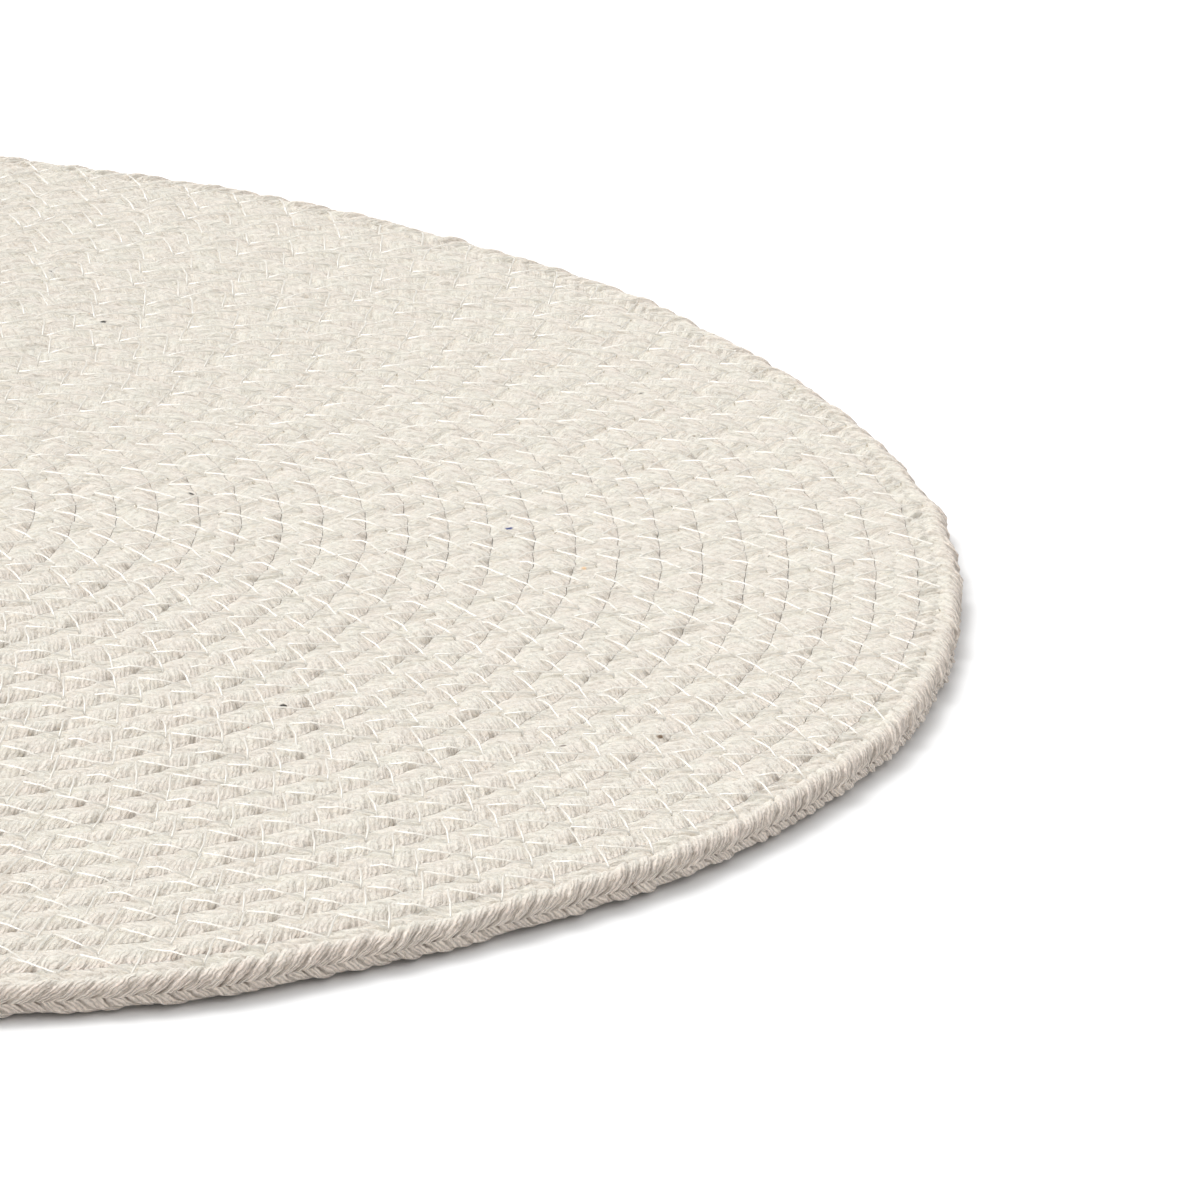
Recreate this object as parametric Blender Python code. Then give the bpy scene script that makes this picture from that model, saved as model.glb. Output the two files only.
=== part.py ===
"""Round placemat: one braided cotton cord wound flat into a disc, turn lying against turn.

Metres, +Z up. The mat lies on the plane z = 0, with the middle of its box over the origin.

The coil is described by the winding, counted in turns from 0 at the eye in the middle to TURNS at the tip
of the tail. Each turn's outer valley is the next turn's inner one, and the turns lie a little looser towards
the rim. Seen from above the cord winds outwards clockwise.
"""

import math

import bmesh
import bpy
from mathutils import Vector

CORD_WIDTH = 0.00593  # valley to valley, at the eye
LOOSENING = 0.0000089  # half of what each turn is wider than the one inside it
FREE_SIDE = 0.0005  # how much further out the outermost turn's side bulges, with no turn beside it
CORD_HEIGHT = 0.005  # thickness of the mat at the crown of a turn
VALLEY_DEPTH = 0.0007  # from the crowns down to the line where two turns meet
SHOULDER = 0.3  # where the rounded crown starts and ends, in cord widths from each valley
TURNS = 30
TAIL_BEARING = math.radians(190)  # direction, from the eye, of the cord's start and of its tail's tip
TAIL_TAPER = 0.1  # length of the tapered tail, in turns

FINEST = 128  # steps in one turn at the rim
STEPS_BY_TURN = (  # (first turn, steps in each turn from there on)
    (0, 16),
    (3, 32),
    (6, 64),
    (TURNS - 1, FINEST),
)

RIM = (  # (metres in from the cord's outer side, height as a share of the cord's), top to bottom
    (0.00070, 0.85),
    (0.00000, 0.50),
    (0.00060, 0.16),
    (0.00170, 0.00),
)
RIM_TOP = RIM[0]

SWELLS = (  # where the rim stands out or draws in: (bearing in degrees, half width in degrees, metres outwards)
    (2, 1.5, 0.0009),
    (36, 6, 0.0013),
    (70, 8, -0.0014),
    (104, 8, 0.0007),
    (143, 7, -0.0005),
    (176, 6, 0.0004),
    (-26, 6, 0.0004),
    (-56, 7, -0.0006),
    (-71, 4, 0.0006),
    (-79, 4, -0.0006),
    (-108, 7, 0.0007),
    (-140, 8, -0.0004),
)
SWELL_FADE = 6  # the swells fade inwards with this power of the radius

NAME = "coiled_mat"
ECRU_COTTON = (0.815, 0.752, 0.672, 1.0)


def steps_in(turn):
    """Number of steps in which a turn is modelled, finer towards the rim."""
    return max(steps for first, steps in STEPS_BY_TURN if first <= turn)


def bearing_at(winding):
    return TAIL_BEARING - 2 * math.pi * winding


def valley_radius(winding):
    """Radius of the valley on the cord's inner side."""
    return (CORD_WIDTH + LOOSENING * winding) * winding


def swell(bearing):
    """Metres by which the rim stands out at a bearing: a sum of bell curves."""
    total = 0.0
    for middle, half_width, height in SWELLS:
        away = math.remainder(bearing - math.radians(middle), 2 * math.pi)
        total += height * math.exp(-((away / math.radians(half_width)) ** 2))
    return total


def placed(winding, radius, height):
    """Point on the coil, pushed outwards by the swells, which fade towards the eye."""
    bearing = bearing_at(winding)
    radius += swell(bearing) * (radius / valley_radius(TURNS)) ** SWELL_FADE
    return Vector((radius * math.cos(bearing), radius * math.sin(bearing), height))


def fullness(winding):
    """1 along the cord, falling smoothly to 0 over the tapered tail."""
    left = min(1.0, (TURNS - winding) / TAIL_TAPER)
    return left * left * (3 - 2 * left)


def across_cord(winding, across):
    """Radius `across` of the way from the cord's inner valley to its outer one."""
    inner = valley_radius(winding)
    return inner + across * fullness(winding) * (valley_radius(winding + 1) - inner)


def rim_point(winding, row):
    inwards, share = row
    return placed(winding, across_cord(winding, 1) + FREE_SIDE - inwards, CORD_HEIGHT * share)


def top_point(winding, across, height):
    """Point of the cord's upper side. Over the tail the points draw together to the top of the rim."""
    point = placed(winding, across_cord(winding, across), height)
    return rim_point(winding, RIM_TOP).lerp(point, fullness(winding))


def valley(winding):
    return top_point(winding, 0.0, CORD_HEIGHT - VALLEY_DEPTH)


def shoulders(winding):
    return [top_point(winding, across, CORD_HEIGHT) for across in (SHOULDER, 1 - SHOULDER)]


class Skin:
    """Collects faces by their corner points, and shares corners that fall on one place."""

    def __init__(self):
        self.bm = bmesh.new()

    def face(self, corners):
        self.bm.faces.new([self.bm.verts.new(corner) for corner in corners])

    def band(self, here, there):
        """Four-sided faces between two rows of points of one length."""
        for i in range(len(here) - 1):
            self.face([here[i], there[i], there[i + 1], here[i + 1]])

    def mesh(self, name):
        bmesh.ops.remove_doubles(self.bm, verts=self.bm.verts, dist=1e-7)
        bmesh.ops.dissolve_degenerate(self.bm, dist=1e-7, edges=self.bm.edges)
        low = Vector(min(v.co[i] for v in self.bm.verts) for i in range(3))
        high = Vector(max(v.co[i] for v in self.bm.verts) for i in range(3))
        middle = (low + high) / 2
        bmesh.ops.translate(self.bm, verts=self.bm.verts, vec=(-middle.x, -middle.y, -low.z))
        bmesh.ops.recalc_face_normals(self.bm, faces=self.bm.faces)
        mesh = bpy.data.meshes.new(name)
        self.bm.to_mesh(mesh)
        self.bm.free()
        return mesh


def add_turn(skin, turn):
    """One turn's upper side. Its outer edge has the next turn's steps, so that the two share their corners."""
    steps = steps_in(turn)
    finer = steps_in(turn + 1) // steps
    for step in range(steps):
        here = turn + step / steps
        there = turn + (step + 1) / steps
        near = [valley(here), *shoulders(here)]
        far = [valley(there), *shoulders(there)]
        skin.band(near, far)
        outer_valley = [valley(here + 1 + (there - here) * part / finer) for part in range(finer, -1, -1)]
        skin.face([near[-1], far[-1], *outer_valley])


def add_last_turn(skin):
    """The outermost turn: its upper side, its rounded outer side, and the flat underside of the mat."""
    underside_middle = Vector((0, 0, 0))
    for step in range(FINEST):
        ends = [TURNS - 1 + (step + extra) / FINEST for extra in (0, 1)]
        rows = [
            [valley(end), *shoulders(end), *(rim_point(end, row) for row in RIM), underside_middle]
            for end in ends
        ]
        skin.band(*rows)


def add_eye(skin):
    """The cord's start, folded under at the middle: a fan over the gap that the first turn winds round."""
    steps = steps_in(0)
    edge = [valley(step / steps) for step in range(steps + 1)] + shoulders(0)[::-1]
    middle = sum(edge, Vector()) / len(edge)
    middle.z = CORD_HEIGHT
    for i, corner in enumerate(edge):
        skin.face([corner, middle, edge[(i + 1) % len(edge)]])


def cotton():
    material = bpy.data.materials.new("ecru_cotton")
    material.use_nodes = True
    finish = material.node_tree.nodes["Principled BSDF"].inputs
    finish["Base Color"].default_value = ECRU_COTTON
    finish["Roughness"].default_value = 0.95
    finish["Metallic"].default_value = 0.0
    material.diffuse_color = ECRU_COTTON
    return material


def coiled_mat():
    skin = Skin()
    add_eye(skin)
    for turn in range(TURNS - 1):
        add_turn(skin, turn)
    add_last_turn(skin)
    mesh = skin.mesh(NAME)
    mesh.materials.append(cotton())
    mesh.shade_smooth()
    mesh.set_sharp_from_angle(angle=math.radians(50))
    return bpy.data.objects.new(NAME, mesh)


for old in list(bpy.data.objects):
    bpy.data.objects.remove(old, do_unlink=True)
collection = bpy.data.collections.new("round_placemat")
bpy.context.scene.collection.children.link(collection)
collection.objects.link(coiled_mat())
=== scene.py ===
"""Round placemat as finished cloth: one braided cotton cord wound flat, and the zigzag sewing that holds it.

Metres, +Z up. The cord winds outwards, clockwise seen from above, from the eye in the middle to the tapered
tail. Places along it are counted in turns (`winding`), in metres (`along`) or in strands of the braid
(`strand`). Around it they are counted in the braid's four columns (`column`): 0 at the outer side, 1 at the
crown, 2 at the inner side, 3 underneath and 4 at the outer side again. Across it they run from -0.5 in its
inner valley to 0.5 in its outer one (`across`).
"""

import math

import bpy
import numpy as np
from mathutils import Matrix, Vector


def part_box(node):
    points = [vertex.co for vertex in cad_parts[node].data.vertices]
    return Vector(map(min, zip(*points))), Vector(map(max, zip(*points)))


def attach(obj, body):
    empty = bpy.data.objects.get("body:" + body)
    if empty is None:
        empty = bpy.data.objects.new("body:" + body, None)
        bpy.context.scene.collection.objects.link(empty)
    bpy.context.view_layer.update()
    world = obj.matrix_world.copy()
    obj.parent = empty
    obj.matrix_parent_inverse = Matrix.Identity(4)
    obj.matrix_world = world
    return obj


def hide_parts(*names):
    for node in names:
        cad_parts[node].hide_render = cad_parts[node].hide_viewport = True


# The coil, as the solid has it.
CORD_WIDTH = 0.00593  # valley to valley, at the eye
LOOSENING = 0.0000089  # half of what each turn is wider than the one inside it
FREE_SIDE = 0.0005  # how much further out the outermost turn's side bulges, with no turn beside it
CORD_HEIGHT = 0.005
TURNS = 30
TAIL_BEARING = math.radians(190)  # direction, from the eye, of the cord's start and of its tail's tip
TAIL_TAPER = 0.1  # length of the tapered tail, in turns
# Where the rim stands out or draws in: (bearing in degrees, half width in degrees, metres outwards).
SWELLS = (
    (2, 1.5, 0.0009),
    (36, 6, 0.0013),
    (70, 8, -0.0014),
    (104, 8, 0.0007),
    (143, 7, -0.0005),
    (176, 6, 0.0004),
    (-26, 6, 0.0004),
    (-56, 7, -0.0006),
    (-71, 4, 0.0006),
    (-79, 4, -0.0006),
    (-108, 7, 0.0007),
    (-140, 8, -0.0004),
)
SWELL_FADE = 6  # the swells fade inwards with this power of the radius
VALLEY_WAVES = (  # how the valleys stray from an even spiral: (how far, step from value to value, seed)
    (0.00014, 0.021, 3),
    (0.00022, 0.0025, 4),
)
LOWEST = 0.00002  # the cloth's underside lies this high, and the floor's plane this low

# The braid.
STRAND_PITCH = 0.00275  # from one strand to the next, along the cord
STRAND_DRIFT = (0.2, 1.7, 31)  # how far a strand lies off its even place, step and seed, in strands
LEAN = 0.0057  # how far back along the cord a strand runs while it crosses one column
LEAN_STARTS = 9  # strands at each end of the cord over which the lean grows to its full size
CROWN = math.radians(97)  # where the top seam of the braid lies, around the cord from its outer side
SEAMS = (0, CROWN, math.pi, 1.5 * math.pi, 2 * math.pi)  # the lines where columns of strands meet
ROUNDNESS = 1.44  # the unpressed cord's width, in cord widths
CONTACT = math.acos(1 / ROUNDNESS)  # how far round the side two turns touch
FLATNESS = 0.9  # below 1 presses the crown flatter
BASE_FLATNESS = 0.6  # and the underside
SIDE_FLATNESS = 0.9  # and the rim's outer side
OUTWARDS = 0.00055  # leans the crown outwards, so that the cord falls steeply there and gently inwards
GROOVE = 0.00046  # depth between two strands
GROOVE_AT_SEAM = 0.6  # how much deeper a groove is on a seam, as a share of that
RIDGE_POWER = 2.5  # the higher, the flatter a strand's back
SEAM_DIP = 0.00022  # depth of the line where two columns meet
SEAM_POWER = 3  # the higher, the narrower that line
LIFT = 0.00048  # how deep single strands may lie
UNEVEN = 0.00016  # the yarns' own unevenness
LUMP = 0.00018  # how high and low the cord's two halves are felted
LUMP_STEP = 0.0031
LUMP_SEED = 6  # of the middle; the inner and the outer half take the seeds before and after it
WAVE = (0.00012, 0.017, 5)  # the cord's slow rise and fall: how far, step and seed
RELIEF_ABOVE = 0.75  # the strands' depth where turns lie beside the cord, as a share
RELIEF_FREE = 0.45  # what the free side of the rim adds to it
RELIEF_BESIDE = 0.12  # the strands' depth where two turns touch
UNEVEN_BESIDE = 0.3  # the yarns' unevenness there
LIFT_SEED = 11
START_STRAND = 0.2  # the cord starts this far out of the eye, in strands
START_WIDTH = 0.35  # and with this share of its width
START_TURNS = 0.3  # which is whole after this part of a turn
TAIL_HEIGHT = 0.55  # the tail's tip has this share of the cord's height
RIM_WINDING = TURNS - 1.12  # where the finer outermost turn starts
INNER_PIECES = 4
INNER_ROWS = 4  # rows of points in one strand
RIM_ROWS = 8
INNER_RING = (3, 3, 4, 1)  # steps round the cord: up to the crown, down to the inner side, below, outer side
RIM_RING = (6, 6, 6, 4)
UV_WRAP = 512  # strands after which the UV map starts afresh, so that its numbers stay exact
CORD_EDGE = math.radians(60)  # above this angle an edge of the cord is sharp, as where two turns touch

# The sewing.
STITCH = 0.00462  # along the valley, from one needle hole to the next
REACH = 0.0032  # from the valley to a needle hole
HOLE_DRIFT = (0.0012, 0.11, 8)  # how far the machine's step runs off, step and seed
HOLE_SCATTER = 0.00022  # how far each hole lies off, along and across
HOLE_SEED = 7
FIRST_DIMPLE = 0.6  # the winding where the cord is first drawn in
FIRST_STITCH = 0.62  # and where the thread starts
DIMPLE = 0.00014  # depth of the dimple round a needle hole
DIMPLE_LENGTH = 0.0010
DIMPLE_WIDTH = 0.0008
SHALLOW_DENT = 0.00008  # how deep the edges of two turns are dented beside a needle hole of the outer turn
DEEP_DENT = 0.00034  # and beside a needle hole of the inner turn
DENT_OUTWARDS = 0.0008  # how far that dent reaches from the valley into the outer turn
DENT_INWARDS = 0.0019  # and into the inner turn
DENT_POWER = 1.5  # the higher, the shorter the dents
PRESS = 0.00026  # how deep the thread itself presses into the cord
PRESS_REACH = 0.00055
LEG_BOW = 0.17  # bends each leg of the zigzag into a slight S
SLACK = 0.00004  # how much higher or lower a leg's middle lies
SLACK_SEED = 23
TOP_LEG = (0, 0.04, 0.4, 0.6, 0.96)  # where the thread bends, as shares of the way between two holes
TOP_PLACES = (-1, -0.92, -0.2, 0.2, 0.92, 1)  # across the valley, in reaches
TOP_HEIGHTS = (0.0040, 0.00485, 0.00497, 0.00495, 0.00484, 0.0040)  # of the thread's middle line
UNDER_LEG = (0, 0.16, 0.84)
UNDER_PLACES = (-1, -0.68, 0.68, 1)
UNDER_HEIGHTS = (0.0008, 0.00026, 0.00026, 0.0008)
THREAD = 0.00035  # width
THREAD_HEIGHT = 0.75  # its height, in widths
THREAD_RING = np.radians((90, 200, 340))  # corners of its section, around it from one side; 90 is on top
THREAD_EDGE = math.radians(100)  # its ridge stays smooth, for the gloss along it

# Colours.
ROSY = (0.835, 0.772, 0.684, 1)
PALE_GREEN = (0.835, 0.796, 0.702, 1)
# painted: a warm, brighter tint for the outer sides and underside, standing in for light bounced into their
# shade
WARM_SHADE_TINT = (0.960, 0.815, 0.715, 1)
# painted shade: the next colour darkens pits and the grooves between strands, the one after it the gaps where
# a groove meets a seam
CREVICE_SHADE = (0.44, 0.38, 0.31, 1)
NODE_SHADE = (0.20, 0.155, 0.12, 1)
CREAM = (0.72, 0.69, 0.625, 1)
DULL_CREAM = (0.65, 0.615, 0.55, 1)
SEED_BROWN = (0.20, 0.13, 0.075, 1)
NEARLY_BLACK = (0.03, 0.025, 0.02, 1)
GREY_BROWN = (0.22, 0.18, 0.15, 1)
NAVY = (0.05, 0.07, 0.20, 1)
PALE_ORANGE = (0.80, 0.52, 0.28, 1)
SPECKS = (  # caught in the cord: (mm to the right of the eye and away from it, mm up, half as wide, colour)
    (65.5, 86.5, 4.8, 0.8, NEARLY_BLACK),
    (121.3, 67.6, 4.8, 0.8, GREY_BROWN),
    (74.9, 4.0, 4.8, 0.7, NEARLY_BLACK),
    (82.5, -84.8, 4.8, 0.7, NEARLY_BLACK),
    (149.1, 58.0, 4.8, 0.8, NEARLY_BLACK),
    (120.3, -97.0, 4.8, 0.7, GREY_BROWN),
    (134.3, -92.8, 4.8, 0.7, SEED_BROWN),
    (121.6, -8.3, 4.8, 0.8, NAVY),
    (131.2, -24.0, 4.6, 0.9, PALE_ORANGE),
    (81.3, -173.9, 3.0, 0.8, NAVY),
)

# The cotton's patterns, in patterns per metre.
LUMPS = 620.0
FUZZ = 1500.0
LINT = 1000.0
PATCHES = 190.0
# how thickly the painted shade in the braid's gaps falls, per metre
SLOTS = 420.0
SEEDS = 130.0
YARNS = 3.5  # yarns side by side in one strand
FREE_FROM = 0.1825  # how far from the eye the rim's free side starts to show its yarns
FREE_TO = 0.1845

# Light and camera, which looks from the near side past the eye.
WORLD = 0.7
KEYS = (  # a large soft sun and its brighter middle: (name, strength, spread in degrees)
    ("key", 1.9, 60),
    ("key_middle", 0.9, 30),
)
KEY_BEARING = math.radians(132)
KEY_ELEVATION = math.radians(50)
SENSOR = 36
LENS = 214.15
FAR_CLIP = 20
CAMERA_DISTANCE = 1.0683  # from the eye
CAMERA_ELEVATION = 0.341331
CAMERA_ROLL = 0.070559
AIM = (0.13368, -0.02603)  # the point of the table that it looks at, from the eye
FLOOR_REACH = 4


def coil_eye():
    """Where the eye lies: the outline's own middle is moved onto the middle of the solid's box."""
    winding = np.linspace(TURNS - 1, TURNS, 2000)
    radius = valley_radius(winding)
    radius = radius + fullness(winding) * (valley_radius(winding + 1) - radius) + FREE_SIDE
    outline = placed(winding, radius, 0 * winding, (0, 0))
    low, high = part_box("coiled_mat")
    middle = (outline.min(0) + outline.max(0)) / 2
    return (low.x + high.x) / 2 - middle[0], (low.y + high.y) / 2 - middle[1]


def ease(share):
    """0 to 1 with a soft start and end: share^2 x (3 - 2 x share)."""
    share = np.clip(share, 0, 1)
    return share * share * (3 - 2 * share)


def fullness(winding):
    """1 along the cord, falling smoothly to 0 over the tapered tail."""
    return ease((TURNS - winding) / TAIL_TAPER)


def valley_radius(winding):
    """Radius of the valley on the cord's inner side: winding x (cord width + loosening x winding)."""
    return (CORD_WIDTH + LOOSENING * winding) * winding


def valley_length(winding):
    """Length of that valley from the eye: pi x winding^2 x (cord width + loosening x winding x 2/3)."""
    winding = np.maximum(winding, 0)
    return math.pi * winding**2 * (CORD_WIDTH + LOOSENING * winding * 2 / 3)


def winding_of(length):
    """The winding that a length of valley reaches. The middle of the cord runs half a turn further out."""
    winding = np.linspace(0, TURNS + 2, 60000)
    return np.interp(length, valley_length(winding), winding)


def placed(winding, radius, height, eye):
    """Points at a radius from the eye, at the winding's bearing. The rim's swells, a sum of bell curves of
    the bearing, push them outwards, and fade towards the eye."""
    bearing = TAIL_BEARING - 2 * math.pi * winding
    swell = 0 * bearing
    for middle, half_width, outwards in SWELLS:
        away = np.remainder(bearing - math.radians(middle) + math.pi, 2 * math.pi) - math.pi
        swell = swell + outwards * np.exp(-((away / math.radians(half_width)) ** 2))
    radius = radius + swell * (np.abs(radius) / valley_radius(TURNS)) ** SWELL_FADE
    right = eye[0] + radius * np.cos(bearing)
    beyond = eye[1] + radius * np.sin(bearing)
    return np.stack([right, beyond, height + 0 * radius], -1)


def strands_to(winding):
    """Whole strands of the braid from the eye to a winding."""
    return int(valley_length(winding + 0.5) / STRAND_PITCH)


def wander(place, step, seed):
    """A slow random curve between -1 and 1: seeded values a step apart, eased from each one to the next."""
    place = np.maximum(place, 0) / step
    values = np.random.default_rng(seed).uniform(-1, 1, int(place.max()) + 2)
    before = place.astype(int)
    return values[before] + (values[before + 1] - values[before]) * ease(place - before)


def valley_wander(winding):
    """How far the valley strays from its even spiral. Both turns that meet there follow it."""
    length = valley_length(winding)
    return sum(far * wander(length, step, seed) for far, step, seed in VALLEY_WAVES)


def needle_holes():
    """Every needle hole: its length along the valley and its distance across it, on the outer and the inner
    turn by turns. The machine's step drifts slowly, and each hole lies a little off."""
    count = int(valley_length(TURNS) / STITCH) + 1
    number = np.arange(count)
    random = np.random.default_rng(HOLE_SEED)
    far, step, seed = HOLE_DRIFT
    along = number * STITCH + far * wander(number * STITCH, step, seed)
    along = along + random.normal(0, HOLE_SCATTER, count)
    side = np.where(number % 2 == 0, 1.0, -1.0)
    across = side * (REACH + random.normal(0, HOLE_SCATTER, count))
    return along, across


def pull(winding, across, holes):
    """How deep the sewing draws the cord in, from the valley on each of its sides. Each valley gives a dimple
    round its nearest needle hole on this cord, a bell curve along and across; a dent of both turns' edges,
    deeper beside the inner turn's holes, that fades from the valley as a bell curve; and the groove under
    the thread, a bell curve round the straight line from hole to hole that ends at the holes."""
    depth = 0 * across
    hole_along, hole_across = holes
    width = valley_radius(winding + 1) - valley_radius(winding)
    for valley, from_valley, first, reach in (
        (winding, (across + 0.5) * width, 0, DENT_OUTWARDS),
        (winding + 1, (across - 0.5) * width, 1, DENT_INWARDS),
    ):
        length = valley_length(valley)
        nearest = first + 2 * np.round((length / STITCH - first) / 2).astype(int)
        sewn = (nearest >= 0) & (nearest < len(hole_along)) & (valley >= FIRST_DIMPLE) & (valley < TURNS)
        nearest = np.clip(nearest, 0, len(hole_along) - 1)
        off_along = (length - hole_along[nearest]) / DIMPLE_LENGTH
        off_across = (from_valley - hole_across[nearest]) / DIMPLE_WIDTH
        depth = depth + sewn * DIMPLE * np.exp(-(off_along**2) - off_across**2)
        stitches = np.interp(length, hole_along, np.arange(len(hole_along)))
        by_outer_hole = 0.5 + 0.5 * np.cos(math.pi * stitches)
        dent = SHALLOW_DENT * by_outer_hole**DENT_POWER + DEEP_DENT * (1 - by_outer_hole) ** DENT_POWER
        depth = depth + sewn * dent * np.exp(-((from_valley / reach) ** 2))
        legs = REACH * (1 - 2 * np.abs(np.remainder(stitches + 1, 2) - 1))
        off_leg = (from_valley - legs) * STITCH / math.hypot(STITCH, 2 * REACH)
        pressed = PRESS * np.exp(-((off_leg / PRESS_REACH) ** 2))
        pressed = pressed * (1 - np.clip(from_valley / REACH, -1, 1) ** 4)
        depth = depth + sewn * pressed
    return depth


def strand_skin(strand, column, lifts):
    """How far the braid's skin lies under the smooth cord. Each strand is a long rounded ridge, a power of
    the way from its middle to its groove; each has its own small lift; and all dip where two columns meet.
    The strands of every second column lie half a strand further on, and a seam takes the mean of both."""
    whole = np.floor(column).astype(int) % 4
    inside = column - np.floor(column)
    on_seam = inside < 1e-6
    dip = np.abs(2 * inside[None, :] - 1) ** SEAM_POWER
    skins = []
    for parity in (0, 1):
        place = strand[:, None] + parity / 2 + 0 * column[None, :]
        number = np.floor(place).astype(int)
        ridge = 1 - np.abs(2 * (place - number) - 1) ** RIDGE_POWER
        lift = lifts[whole[None, :], np.clip(number, 0, lifts.shape[1] - 1)]
        skins.append(GROOVE * (1 - ridge) * (1 + GROOVE_AT_SEAM * dip) + ridge * lift)
    odd = (whole % 2)[None, :]
    skin = np.where(on_seam[None, :], (skins[0] + skins[1]) / 2, np.where(odd == 1, skins[1], skins[0]))
    return skin + SEAM_DIP * dip


def cord_points(strand, around, eye, holes):
    """The cord's skin. Its section is an ellipse with flattened ends, wider than the cord and cut off where
    it touches the turns beside it, and round where nothing lies beside it. Rows of points lean with the
    strands: back along the cord from the outer side to the crown, and forward again to the inner side. The
    braid sinks into the section along its slope, hardly at all where two turns touch. Then the crown leans
    outwards, the sewing draws it in, and it rises and falls by seeded curves that fade towards the valleys,
    so that two turns meet there at one height."""
    column = np.interp(around, SEAMS, range(5))
    ends = ease(strand / LEAN_STARTS) * ease((strands_to(TURNS) - strand) / LEAN_STARTS)
    lean = LEAN * np.interp(around, SEAMS, (0, 1, 0, 1, 0))
    far, step, seed = STRAND_DRIFT
    along = (strand[:, None] + far * wander(strand, step, seed)[:, None]) * STRAND_PITCH
    along = along - ends[:, None] * lean[None, :]
    winding = winding_of(along) - 0.5
    full = fullness(winding)
    width = full * (START_WIDTH + (1 - START_WIDTH) * ease((winding + 0.5) / START_TURNS))
    bare = 1 - fullness(winding + 1)

    turned = np.cos(around)[None, :]
    raised = np.sin(around)[None, :]
    pressed = np.clip(ROUNDNESS / 2 * turned, -0.5, 0.5)
    inner_valley = valley_radius(winding)
    wide = valley_radius(winding + 1) - inner_valley
    free = (0.5 + FREE_SIDE / wide) * np.abs(turned) ** SIDE_FLATNESS
    across = np.where(turned > 0, pressed + bare * (free - pressed), pressed)
    half = CORD_HEIGHT / 2 * (TAIL_HEIGHT + (1 - TAIL_HEIGHT) * full)
    height = half * (1 + np.where(raised > 0, np.abs(raised) ** FLATNESS, -(np.abs(raised) ** BASE_FLATNESS)))

    lifts = np.random.default_rng(LIFT_SEED).uniform(0, LIFT, (4, strands_to(TURNS) + 2))
    whole = np.minimum(1, 3 * full)
    beside = (np.abs(across) >= 0.5 - 1e-6) & ((across < 0) | (bare < 0.5))
    sunk = strand_skin(strand, column, lifts) * whole
    sunk = np.where(beside, RELIEF_BESIDE * sunk, (RELIEF_ABOVE + RELIEF_FREE * bare) * sunk)
    uneven = np.random.default_rng(int(strand[0])).uniform(0, UNEVEN, sunk.shape)
    uneven = uneven * np.where(beside, UNEVEN_BESIDE, 1)
    sunk = sunk + whole * uneven
    out = np.sqrt(turned**2 + raised**2 * 1.4)
    radius = inner_valley + wide * (full / 2 + across * width) - sunk * turned / out
    inner = valley_wander(winding)
    outer = valley_wander(winding + 1)
    radius = radius + inner + (outer - inner) * (across + 0.5)

    height = height - sunk * 1.18 * raised / out
    level = np.clip(across, -0.5, 0.5)
    height = height + OUTWARDS * level * (1 - 4 * level**2) * full * ease(raised * 1.5)
    top = ease((raised - 0.2) / 0.5)
    height = height - top * pull(winding, across, holes)
    inland = top * (1 - np.abs(2 * level) ** 4)
    far, step, seed = WAVE
    height = height + inland * far * wander(along, step, seed)
    for side in (-1, 1):
        lump = inland * LUMP * wander(along, LUMP_STEP, LUMP_SEED + side)
        height = height + lump * ease(0.5 + side * across)
    return placed(winding, radius, np.clip(height, LOWEST, None), eye)


def skin_mesh(name, points, column, rows_per_strand, first_row):
    """A closed tube from rows of points round it, with a flat cap at each end. Its UV map counts strands
    along the tube and columns around it."""
    rows, around = points.shape[:2]
    low = np.arange(rows - 1)[:, None] * around
    this = np.arange(around)[None, :]
    beyond = (this + 1) % around
    quads = np.stack([low + this, low + beyond, low + around + beyond, low + around + this], -1).reshape(-1)
    start = np.arange(around)[::-1]
    end = (rows - 1) * around + np.arange(around)
    loops = np.concatenate([quads, start, end])
    quad_count = len(quads) // 4
    mesh = bpy.data.meshes.new(name)
    mesh.vertices.add(rows * around)
    mesh.vertices.foreach_set("co", points.reshape(-1))
    mesh.loops.add(len(loops))
    mesh.loops.foreach_set("vertex_index", loops)
    mesh.polygons.add(quad_count + 2)
    starts = np.append(np.arange(quad_count) * 4, [len(quads), len(quads) + around])
    mesh.polygons.foreach_set("loop_start", starts)
    mesh.update(calc_edges=True)
    smooth = np.ones(quad_count + 2, bool)
    smooth[-2:] = False
    mesh.polygons.foreach_set("use_smooth", smooth)

    strand = np.remainder(first_row + np.arange(rows - 1), UV_WRAP * rows_per_strand) / rows_per_strand
    strand = strand[:, None, None] + np.array([0, 0, 1, 1]) / rows_per_strand + np.zeros((1, around, 1))
    edge = np.append(column, column[0] + 4)
    corner = np.stack([edge[:-1], edge[1:], edge[1:], edge[:-1]], -1)[None] + 0 * strand
    uv = np.zeros((len(loops), 2), np.float32)
    uv[: len(quads), 0] = strand.reshape(-1)
    uv[: len(quads), 1] = corner.reshape(-1)
    mesh.uv_layers.new(name="strands").uv.foreach_set("vector", uv.reshape(-1))
    mesh.validate()
    piece = bpy.data.objects.new(name, mesh)
    bpy.context.scene.collection.objects.link(piece)
    return piece


def cord(name, first, last, rows_per_strand, ring, eye, holes):
    """A stretch of the braided cord, from one strand to another."""
    around = ring_of(*ring)
    count = round((last - first) * rows_per_strand)
    strand = first + np.arange(count + 1) / rows_per_strand
    points = cord_points(strand, around, eye, holes)
    column = np.interp(around, SEAMS, range(5))
    piece = skin_mesh(name, points, column, rows_per_strand, round(first * rows_per_strand))
    piece.data.set_sharp_from_angle(angle=CORD_EDGE)
    return piece


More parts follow.
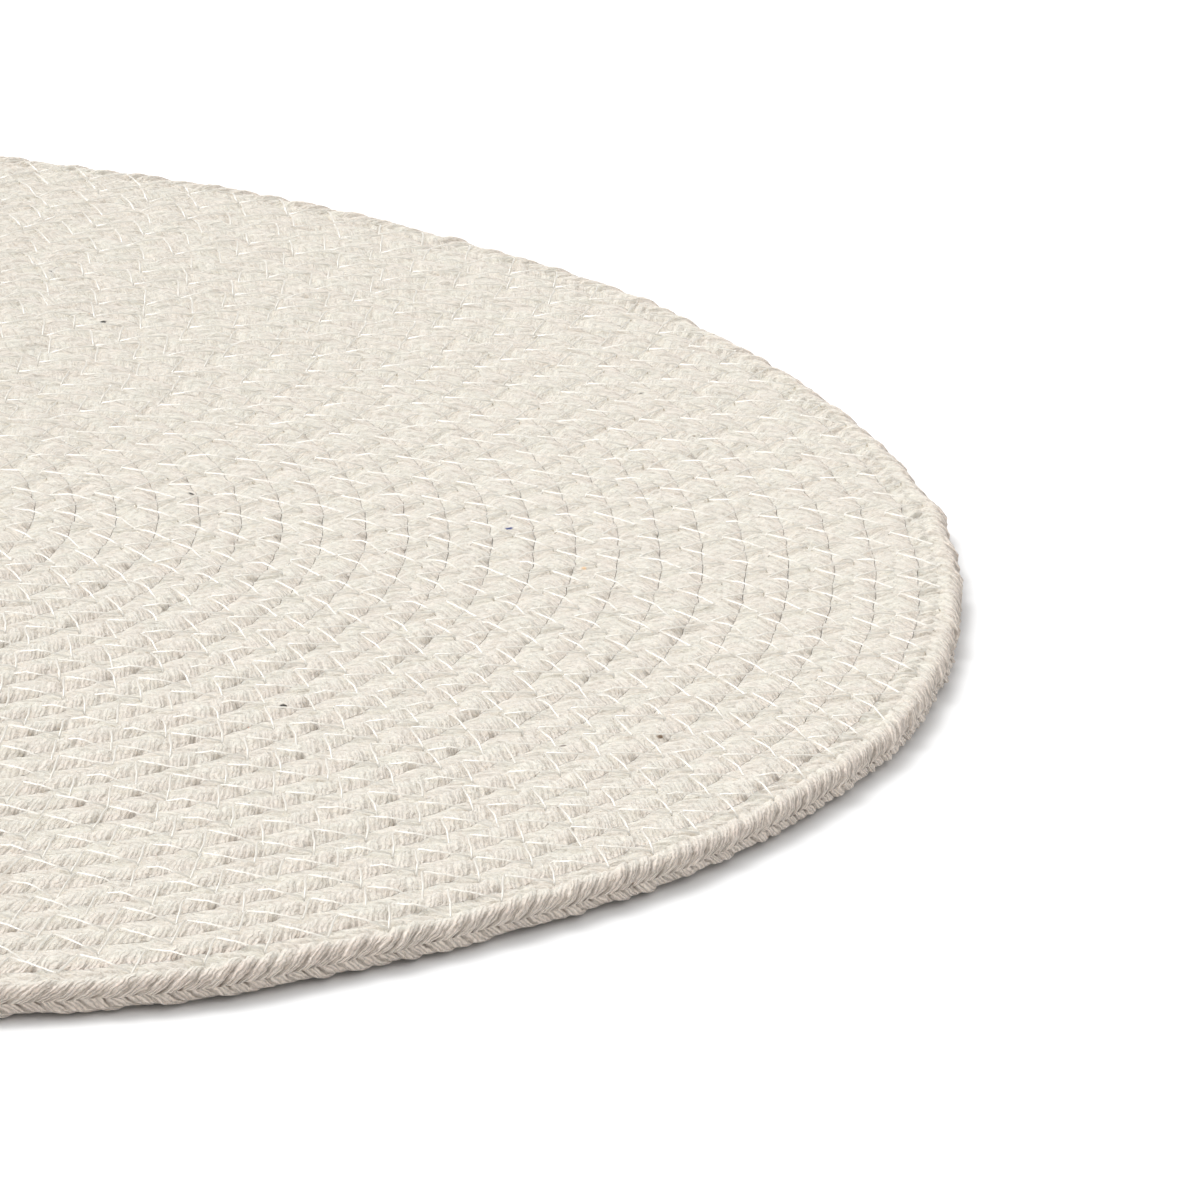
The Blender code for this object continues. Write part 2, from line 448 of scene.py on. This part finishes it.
def ring_of(crown_steps, flank_steps, under_steps, side_steps):
    """Bearings around the cord's section. Points lie on the seams and on the edges of the pressed sides."""
    bends = (CONTACT, CROWN, math.pi - CONTACT, math.pi + CONTACT, 2 * math.pi - CONTACT)
    counts = (crown_steps, flank_steps, 1, under_steps)
    parts = [np.linspace(a, b, n, endpoint=False) for a, b, n in zip(bends, bends[1:], counts)]
    parts.append(np.linspace(-CONTACT, CONTACT, side_steps, endpoint=False))
    return np.sort(np.remainder(np.concatenate(parts), 2 * math.pi))


def thread_points(share, places, heights, holes, eye):
    """The middle line of the zigzag: from hole to hole across the valley, into the cord at each hole. A sine
    of the way along bows each leg, and its own slack, widest in the middle, lifts or lowers it."""
    along, across = holes
    share = np.array(share)
    first = int(valley_length(FIRST_STITCH) / STITCH)
    a, b = along[first:-1, None], along[first + 1 :, None]
    length = (a + (b - a) * (share + LEG_BOW * np.sin(2 * math.pi * share) / (2 * math.pi))).reshape(-1)
    a, b = across[first:-1, None], across[first + 1 :, None]
    off = (a + (b - a) * share).reshape(-1)
    count = len(off) // len(share)
    tension = np.random.default_rng(SLACK_SEED).uniform(-1, 1, count)[:, None]
    slack = SLACK * tension * np.sin(math.pi * share) ** 2
    height = np.interp(off / REACH, places, heights) + slack.reshape(-1)
    winding = winding_of(length)
    return placed(winding, valley_radius(winding) + off + valley_wander(winding), height, eye)


def thread(name, path, rows_per_leg):
    """A low three-cornered tube along a path. Its section is turned by the path's own direction, with one
    corner on top as its ridge and a flat side on the cloth."""
    ahead = np.gradient(path, axis=0)
    ahead /= np.linalg.norm(ahead, axis=1, keepdims=True)
    side = np.cross(ahead, (0, 0, 1))
    side /= np.maximum(np.linalg.norm(side, axis=1, keepdims=True), 1e-9)
    above = np.cross(side, ahead)
    right = np.cos(THREAD_RING)[None, :, None]
    up = np.sin(THREAD_RING)[None, :, None]
    ring = right * -side[:, None] + up * above[:, None] * THREAD_HEIGHT
    points = path[:, None] + THREAD / 2 * ring
    points[..., 2] = np.maximum(points[..., 2], LOWEST)
    corners = len(THREAD_RING)
    piece = skin_mesh(name, points, np.arange(corners) * 4 / corners, rows_per_leg, 0)
    piece.data.set_sharp_from_angle(angle=THREAD_EDGE)
    return piece


class Wire:
    """An output of a shader node. Python's operators on it add Math nodes."""

    def __init__(self, finish, socket):
        self.finish = finish
        self.socket = socket

    def math(self, operation, *values):
        return self.finish.add("ShaderNodeMath", {"operation": operation}, dict(enumerate(values)))

    def __add__(self, other):
        return self.math("ADD", self, other)

    def __sub__(self, other):
        return self.math("SUBTRACT", self, other)

    def __rsub__(self, other):
        return self.math("SUBTRACT", other, self)

    def __mul__(self, other):
        return self.math("MULTIPLY", self, other)

    def __mod__(self, other):
        return self.math("FLOORED_MODULO", self, other)

    def __gt__(self, other):
        return self.math("GREATER_THAN", self, other)

    def __abs__(self):
        return self.math("ABSOLUTE", self)

    __radd__ = __add__
    __rmul__ = __mul__


class Finish:
    """A material. `add` makes any node of it, and `out` leads values to the surface."""

    def __init__(self, name):
        self.material = bpy.data.materials.new(name)
        self.material.use_nodes = True
        self.tree = self.material.node_tree
        self.surface = self.tree.nodes["Principled BSDF"]

    def add(self, kind, settings=(), sockets=(), output=0):
        """A node of a type: its settings first, then its sockets' values or links."""
        node = self.tree.nodes.new(kind)
        for name, value in dict(settings).items():
            setattr(node, name, value)
        for name, value in dict(sockets).items():
            self.feed(node.inputs[name], value)
        return Wire(self, node.outputs[output])

    def feed(self, socket, value):
        if isinstance(value, Wire):
            self.tree.links.new(value.socket, socket)
        else:
            socket.default_value = value

    def out(self, **sockets):
        """Wires or plain numbers for the surface's sockets, with underscores for spaces in their names."""
        for name, value in sockets.items():
            self.feed(self.surface.inputs[name.replace("_", " ")], value)

    def parts(self, vector):
        """The three numbers of a vector."""
        split = self.add("ShaderNodeSeparateXYZ", (), {0: vector}).socket.node
        return [Wire(self, output) for output in split.outputs]

    def vector(self, x, y, z=0.0):
        return self.add("ShaderNodeCombineXYZ", (), {0: x, 1: y, 2: z})

    def grey(self, shade):
        return self.add("ShaderNodeCombineColor", (), {0: shade, 1: shade, 2: shade})

    def distance(self, a, b):
        return self.add("ShaderNodeVectorMath", {"operation": "DISTANCE"}, {0: a, 1: b}, 1)

    def noise(self, vector, scale, detail=2.0, roughness=0.5, distortion=0.0):
        sockets = {"Vector": vector, "Scale": scale, "Detail": detail, "Roughness": roughness}
        return self.add("ShaderNodeTexNoise", (), {**sockets, "Distortion": distortion})

    def wisps(self, vector, scale, distortion):
        """Thin curved ridges, like loose fibres on the cloth."""
        settings = {"noise_type": "RIDGED_MULTIFRACTAL", "normalize": True}
        sockets = {"Vector": vector, "Scale": scale, "Detail": 3.0, "Roughness": 0.6}
        return self.add("ShaderNodeTexNoise", settings, {**sockets, "Distortion": distortion})

    def ramp(self, value, low, high):
        """0 below one value and 1 above another, eased between."""
        settings = {"interpolation_type": "SMOOTHSTEP"}
        return self.add("ShaderNodeMapRange", settings, {0: value, 1: low, 2: high})

    def mix(self, share, a, b, blend="MIX"):
        """Two colours mixed by a share, or one laid on the other by a blend."""
        settings = {"data_type": "RGBA", "blend_type": blend}
        return self.add("ShaderNodeMix", settings, {0: share, 6: a, 7: b}, 2)


def cotton(eye):
    """Braided cotton: yarns lie side by side along each strand, with stretched fibre streaks, lumps and a
    tangle of loose wisps over them; painted shade darkens the low parts of that relief, the pits and the gaps
    between strands, darkest where a groove meets a seam of the braid. The free side shows its yarns clearly;
    the outer sides and underside, most of all the free side, get a painted warm tint for light bounced into
    their shade; above, the yarns are felted. Small seed flecks lie all over, and single larger specks. The
    fibres let a little light through."""
    f = Finish("ecru_cotton_braid")
    strand, column, _ = f.parts(f.add("ShaderNodeUVMap", {"uv_map": "strands"}))
    place = f.add("ShaderNodeTexCoord", (), (), "Object")
    whole = f.add("ShaderNodeMath", {"operation": "FLOOR"}, {0: column})
    lumps = f.noise(place, LUMPS, 2.0, 0.55)
    counted = strand + (whole % 2.0) * 0.5 + (lumps - 0.5) * 0.5
    share = counted % 1.0
    inside = column - whole
    free = f.ramp(f.distance(place, (*eye, CORD_HEIGHT / 2)), FREE_FROM, FREE_TO)
    outside = f.ramp(abs(column - 1.4), 0.5, 1.0) * (free * 0.6 + 0.4)

    yarns = abs(f.add("ShaderNodeMath", {"operation": "SINE"}, {0: share * (YARNS * math.pi)}))
    fibres = f.noise(f.vector(counted * 10.0, column * 3.4), 1.0, 4.0, 0.65, 0.4)
    fuzz = f.noise(place, FUZZ, 3.0, 0.68, 0.5)
    lint = f.wisps(place, LINT, 1.6)
    relief = fibres * 0.5 + fuzz * 0.5
    wisps = f.ramp(f.wisps(f.vector(counted * 4.0, column * 1.6), 1.0, 1.5), 0.45, 0.8)
    height = relief * 0.42 + yarns * (outside * 0.18 + 0.06) + lint * 0.10 + lumps * 0.25 + wisps * 0.08
    normal = f.add("ShaderNodeBump", (), {"Strength": 1.0, "Distance": 0.001, "Height": height})

    patches = f.noise(place, PATCHES, 3.0, 0.6)
    tone = f.mix(f.ramp(patches, 0.35, 0.65), ROSY, PALE_GREEN)
    # painted warm tint on the outer sides and underside, most on the free side, for light bounced into their
    # shade
    tone = f.mix(outside * 0.6, tone, WARM_SHADE_TINT)
    # painted shade: the colour is darker in the low parts of the relief and between the yarns; the loose
    # wisps are lighter
    light = 0.925 + (relief - 0.5) * 0.8 + (yarns - 0.6) * (outside * 0.20 + 0.05)
    light = light + (lint - 0.5) * 0.2 + wisps * 0.1
    tone = f.mix(1.0, tone, f.grey(light), "MULTIPLY")
    # painted shade: the pits, the grooves between strands and, darkest, the gaps where a groove meets a seam
    # of the braid
    groove = f.ramp(abs(share * 2.0 - 1.0), 0.66, 1.0)
    seam = f.ramp(abs(inside * 2.0 - 1.0), 0.6, 1.0)
    pits = 1.0 - f.ramp(relief, 0.36, 0.50)
    tone = f.mix(pits * (outside * 0.12 + 0.35), tone, CREVICE_SHADE)
    slots = f.ramp(f.noise(place, SLOTS, 1.0, 0.5), 0.45, 0.62)
    tone = f.mix(groove * (outside * 0.17 + 0.18), tone, CREVICE_SHADE)
    tone = f.mix(groove * (seam * 0.7 + slots * 0.5) * (outside * 0.85 + 0.10), tone, NODE_SHADE)

    cells = f.add("ShaderNodeTexVoronoi", (), {"Vector": place, "Scale": SEEDS}).socket.node
    near = Wire(f, cells.outputs["Distance"])
    chance = f.parts(Wire(f, cells.outputs["Color"]))[0]
    fleck = (1.0 - f.ramp(near, 0.015, 0.05)) * (chance > 0.86)
    tone = f.mix(fleck * 0.75, tone, SEED_BROWN)
    for right, away, up, half_width, colour in SPECKS:
        middle = (eye[0] + right / 1000, eye[1] + away / 1000, up / 1000)
        off = f.distance(place, middle) + (lumps - 0.5) * (half_width / 1000)
        tone = f.mix(1.0 - f.ramp(off, half_width / 2000, half_width / 1000), tone, colour)
    f.out(Base_Color=tone, Normal=normal, Roughness=0.9, Specular_IOR_Level=0.3)
    f.out(Sheen_Weight=0.12, Sheen_Roughness=0.5)
    f.out(Subsurface_Weight=0.4, Subsurface_Radius=(1.0, 0.9, 0.8), Subsurface_Scale=0.0007)
    return f.material


def sewing_thread():
    """Glossy cream thread: two plies twisted, seen as slanting lines along it."""
    f = Finish("cream_sewing_thread")
    length, round_it, _ = f.parts(f.add("ShaderNodeUVMap", {"uv_map": "strands"}))
    twist = f.add("ShaderNodeMath", {"operation": "SINE"}, {0: (length * 14.0 + round_it * 0.5) * math.pi})
    normal = f.add("ShaderNodeBump", (), {"Strength": 0.3, "Distance": 0.00006, "Height": twist * 0.5 + 0.5})
    f.out(Base_Color=f.mix(abs(twist) * 0.5, DULL_CREAM, CREAM), Normal=normal)
    f.out(Roughness=0.28, Specular_IOR_Level=1.0)
    f.out(Subsurface_Weight=0.4, Subsurface_Radius=(1.0, 0.95, 0.85), Subsurface_Scale=THREAD)
    return f.material


def white_floor():
    """A plain pale table top, just under the mat, with a faint cloudiness."""
    corners = [(x * FLOOR_REACH, y * FLOOR_REACH, -LOWEST) for x, y in ((-1, -1), (1, -1), (1, 1), (-1, 1))]
    mesh = bpy.data.meshes.new("floor")
    mesh.from_pydata(corners, [], [(0, 1, 2, 3)])
    floor = bpy.data.objects.new("floor", mesh)
    bpy.context.scene.collection.objects.link(floor)
    f = Finish("white_floor")
    place = f.add("ShaderNodeTexCoord", (), (), "Object")
    f.out(Base_Color=f.grey(f.noise(place, 3.0) * 0.01 + 0.925), Roughness=0.9, Specular_IOR_Level=0.0)
    mesh.materials.append(f.material)
    return floor


def studio(eye):
    """A pale world, two soft suns from behind and to the left, and the camera."""
    world = bpy.data.worlds.new("studio")
    world.use_nodes = True
    world.node_tree.nodes["Background"].inputs["Color"].default_value = (1, 1, 1, 1)
    world.node_tree.nodes["Background"].inputs["Strength"].default_value = WORLD
    bpy.context.scene.world = world
    for name, energy, spread in KEYS:
        key = bpy.data.objects.new(name, bpy.data.lights.new(name, "SUN"))
        key.data.energy = energy
        key.data.angle = math.radians(spread)
        turn_to(key, (math.cos(KEY_BEARING), math.sin(KEY_BEARING), math.tan(KEY_ELEVATION)), 0)
        bpy.context.scene.collection.objects.link(key)
    camera = bpy.data.objects.new("camera", bpy.data.cameras.new("camera"))
    camera.data.sensor_width = SENSOR
    camera.data.lens = LENS
    camera.data.clip_end = FAR_CLIP
    bpy.context.scene.collection.objects.link(camera)
    bpy.context.scene.camera = camera
    away = np.array([0, -math.cos(CAMERA_ELEVATION), math.sin(CAMERA_ELEVATION)])
    seat = np.array([*eye, 0]) + CAMERA_DISTANCE * away
    aim = np.array([eye[0] + AIM[0], eye[1] + AIM[1], 0])
    camera.location = seat
    turn_to(camera, seat - aim, CAMERA_ROLL)
    bpy.context.scene.view_settings.view_transform = "Standard"


def turn_to(thing, back, roll):
    """Turns a light or the camera so that its back points one way, then rolls it anticlockwise."""
    back = Vector(back).normalized()
    right = Vector((0, 0, 1)).cross(back).normalized()
    up = back.cross(right)
    turned = Matrix((right, up, back)).transposed()
    thing.rotation_euler = (turned @ Matrix.Rotation(roll, 3, "Z")).to_euler()


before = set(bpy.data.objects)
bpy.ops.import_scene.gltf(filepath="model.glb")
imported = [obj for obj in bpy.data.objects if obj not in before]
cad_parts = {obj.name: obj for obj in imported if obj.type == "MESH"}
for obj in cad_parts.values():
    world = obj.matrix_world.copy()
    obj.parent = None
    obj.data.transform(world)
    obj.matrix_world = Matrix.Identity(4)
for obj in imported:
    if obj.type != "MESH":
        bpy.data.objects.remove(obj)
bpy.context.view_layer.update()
eye = coil_eye()
holes = needle_holes()

cuts = [strands_to(RIM_WINDING) * part // INNER_PIECES + START_STRAND for part in range(INNER_PIECES + 1)]
braid = [
    cord(f"braid_{i + 1}", first, last, INNER_ROWS, INNER_RING, eye, holes)
    for i, (first, last) in enumerate(zip(cuts, cuts[1:]))
]
braid.append(cord("braid_rim", cuts[-1], strands_to(TURNS) + START_STRAND, RIM_ROWS, RIM_RING, eye, holes))
sewing = [
    thread("sewing_top", thread_points(TOP_LEG, TOP_PLACES, TOP_HEIGHTS, holes, eye), len(TOP_LEG)),
    thread("sewing_under", thread_points(UNDER_LEG, UNDER_PLACES, UNDER_HEIGHTS, holes, eye), len(UNDER_LEG)),
]
for pieces, finish in ((braid, cotton(eye)), (sewing, sewing_thread())):
    for piece in pieces:
        piece.data.materials.append(finish)
        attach(piece, "root")
for piece in braid:
    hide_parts("coiled_mat")
for piece in sewing:
    piece.visible_shadow = False
first_radius = float(valley_radius(winding_of(cuts[1] * STRAND_PITCH) + 0.5))

white_floor()
studio(eye)
